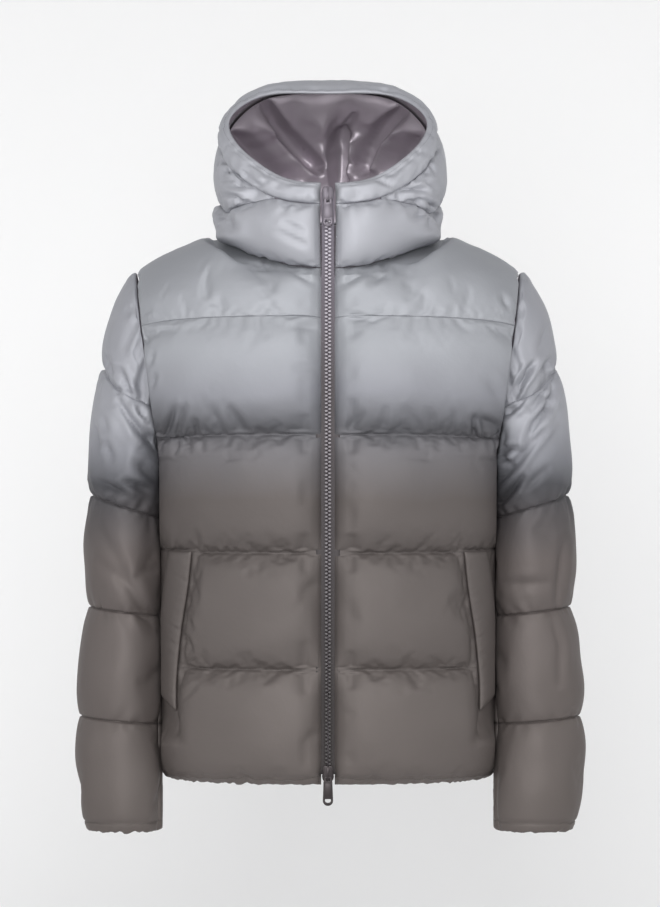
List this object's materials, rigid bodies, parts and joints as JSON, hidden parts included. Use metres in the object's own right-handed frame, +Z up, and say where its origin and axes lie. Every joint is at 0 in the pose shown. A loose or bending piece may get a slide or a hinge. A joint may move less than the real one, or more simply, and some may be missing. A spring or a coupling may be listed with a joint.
{
  "type": "hooded puffer jacket",
  "caption": "Hip-length padded jacket with a hood, stand collar, full-length double-ended zip, quilted tiers, welt pockets and a light-to-dark shell, filled out as if worn.",
  "frame": {"origin": "middle of the line between the two side neck points, on the wearer's centre plane", "axes": "+Z up, the front faces -Y, +X is the wearer's left"},
  "size_m": [0.5996, 0.3339, 0.9018],
  "materials": {
    "shell_lower": "soft sheen, coated woven nylon",
    "shell_upper": "silvery sheen, coated woven nylon",
    "lining": "satin lining",
    "zip_tape": "woven tape with moulded teeth",
    "zip_metal": "satin"
  },
  "bodies": {
    "jacket": {"front_left": "shell_lower", "front_right": "shell_lower", "back": "shell_lower", "sleeve_left_top": "shell_lower", "sleeve_right_top": "shell_lower", "sleeve_left_lower": "shell_lower", "sleeve_right_lower": "shell_lower", "sleeve_left_under": "shell_lower", "sleeve_right_under": "shell_lower", "pocket_welt_left": "shell_lower", "pocket_welt_right": "shell_lower", "front_yoke_left": "shell_upper", "front_yoke_right": "shell_upper", "back_yoke": "shell_upper", "collar_left": "shell_upper", "collar_right": "shell_upper", "hood_side_left": "shell_upper", "hood_side_right": "shell_upper", "hood_center": "shell_upper", "hood_band": "shell_upper", "hood_lining": "lining", "zip_tape_left": "zip_tape", "zip_tape_right": "zip_tape", "zip_slider_upper": "zip_metal", "zip_slider_lower": "zip_metal"},
    "pull_upper": {"zip_pull_upper": "zip_metal"},
    "pull_lower": {"zip_pull_lower": "zip_metal"}
  },
  "joints": [
    {"name": "upper_pull_swing", "type": "hinge", "parent": "jacket", "child": "pull_upper", "pos_m": [0, -0.1132, 0.0238], "axis": [-1, 0, 0], "range_deg": [0, 100]},
    {"name": "lower_pull_swing", "type": "hinge", "parent": "jacket", "child": "pull_lower", "pos_m": [0, -0.1347, -0.6518], "axis": [-1, 0, 0], "range_deg": [0, 100]}
  ]
}
